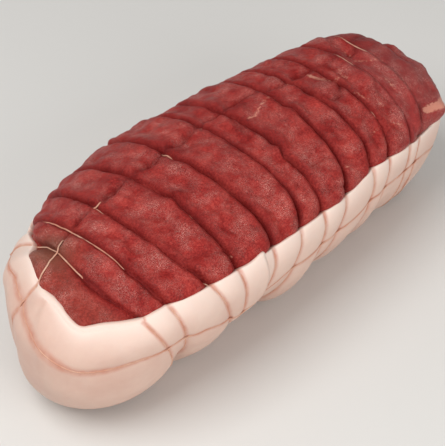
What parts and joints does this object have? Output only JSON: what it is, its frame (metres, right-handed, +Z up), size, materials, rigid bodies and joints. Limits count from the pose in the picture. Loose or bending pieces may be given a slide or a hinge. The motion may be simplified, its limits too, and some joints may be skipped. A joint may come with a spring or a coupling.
{
  "type": "beef roasting joint",
  "caption": "Long rolled joint of raw beef, lean on top with a fat cover wrapped below, tied round and lengthwise with butcher's string.",
  "frame": {"origin": "under the middle of the joint's box, at the height of the flat of fat that it stands on", "axes": "+X along the joint from the blunt end with the deep fat to the far end, +Y towards the side with the shallow fat rim, +Z up through the lean"},
  "size_m": [0.3868, 0.1702, 0.1196],
  "materials": {
    "lean_beef": "raw lean beef, moist and fibrous, dark red between the ties",
    "beef_fat": "raw white beef fat, waxy, cut smooth",
    "string": "thin twisted cotton string, cream, stained where it is wet"
  },
  "bodies": {
    "root": {"lean_beef": "lean_beef", "fat_cover_front": "beef_fat", "fat_cover_rear": "beef_fat", "tie_01": "string", "tie_02": "string", "tie_03": "string", "tie_04": "string", "tie_05": "string", "tie_06": "string", "tie_07": "string", "tie_08": "string", "tie_09": "string", "tie_10": "string", "tie_11": "string", "tie_12": "string", "belt_string": "string", "crest_string": "string"}
  },
  "joints": []
}
